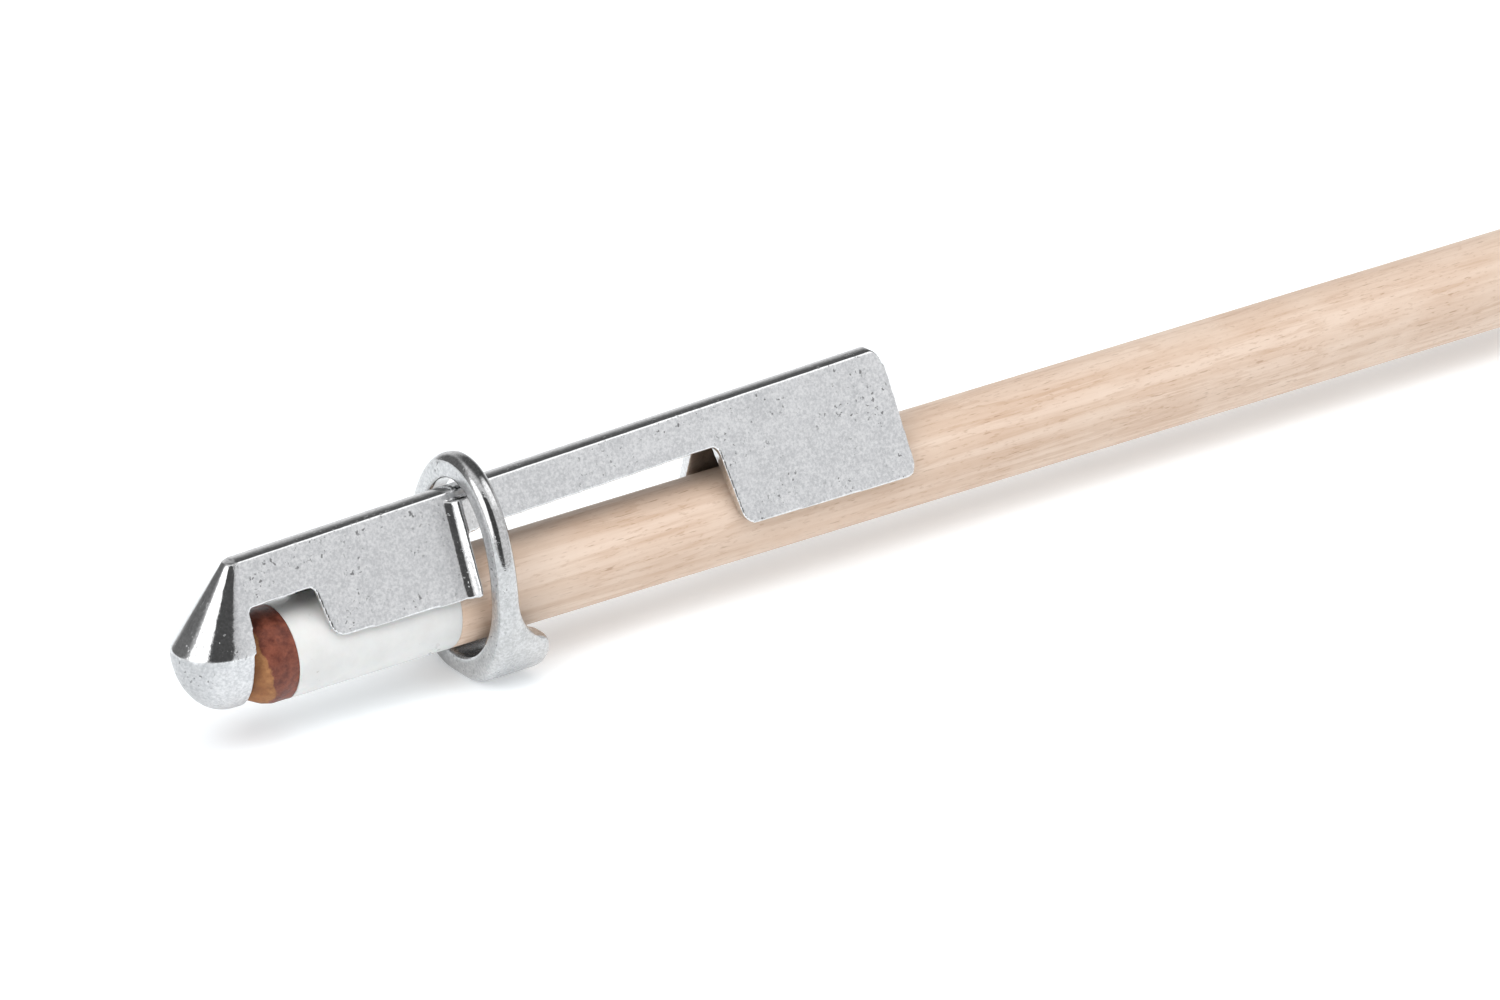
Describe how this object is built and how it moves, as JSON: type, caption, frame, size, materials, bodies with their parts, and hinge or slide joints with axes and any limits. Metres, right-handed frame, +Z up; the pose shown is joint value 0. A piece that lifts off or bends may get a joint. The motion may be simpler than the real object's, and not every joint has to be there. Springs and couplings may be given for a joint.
{
  "type": "cue tip clamp",
  "caption": "Cast cue tip clamp wedged by an oval slide ring over the end of a billiard cue, holding a new leather tip on its ferrule.",
  "frame": {"origin": "centre of the ferrule's front face, on the cue's axis, where the leather tip is glued", "axes": "+X along the cue's axis from the tip towards the butt, +Z up towards the clamp's ridge, +Y across"},
  "size_m": [0.2698, 0.0242, 0.0325],
  "materials": {
    "plated_casting": "bright plated zinc casting, satin flats and polished curves",
    "plated_ring": "bright plated zinc casting, polished",
    "tip_leather": "pressed leather, burnished side and tan shoulder",
    "ferrule_white": "satin ivory-white plastic",
    "shaft_maple": "sanded hard maple with fine flecks"
  },
  "bodies": {
    "cue": {"cue_shaft": "shaft_maple", "ferrule": "ferrule_white", "leather_tip": "tip_leather"},
    "clamp": {"clamp_body": "plated_casting"},
    "ring": {"slide_ring": "plated_ring"}
  },
  "joints": [
    {"name": "clamp_pull_off", "type": "slide", "parent": "cue", "child": "clamp", "axis": [-1, 0, 0], "range_m": [0, 0.125]},
    {"name": "ring_wedge", "type": "slide", "parent": "clamp", "child": "ring", "axis": [0.9991, 0, 0.0413], "range_m": [0, 0.037]}
  ]
}
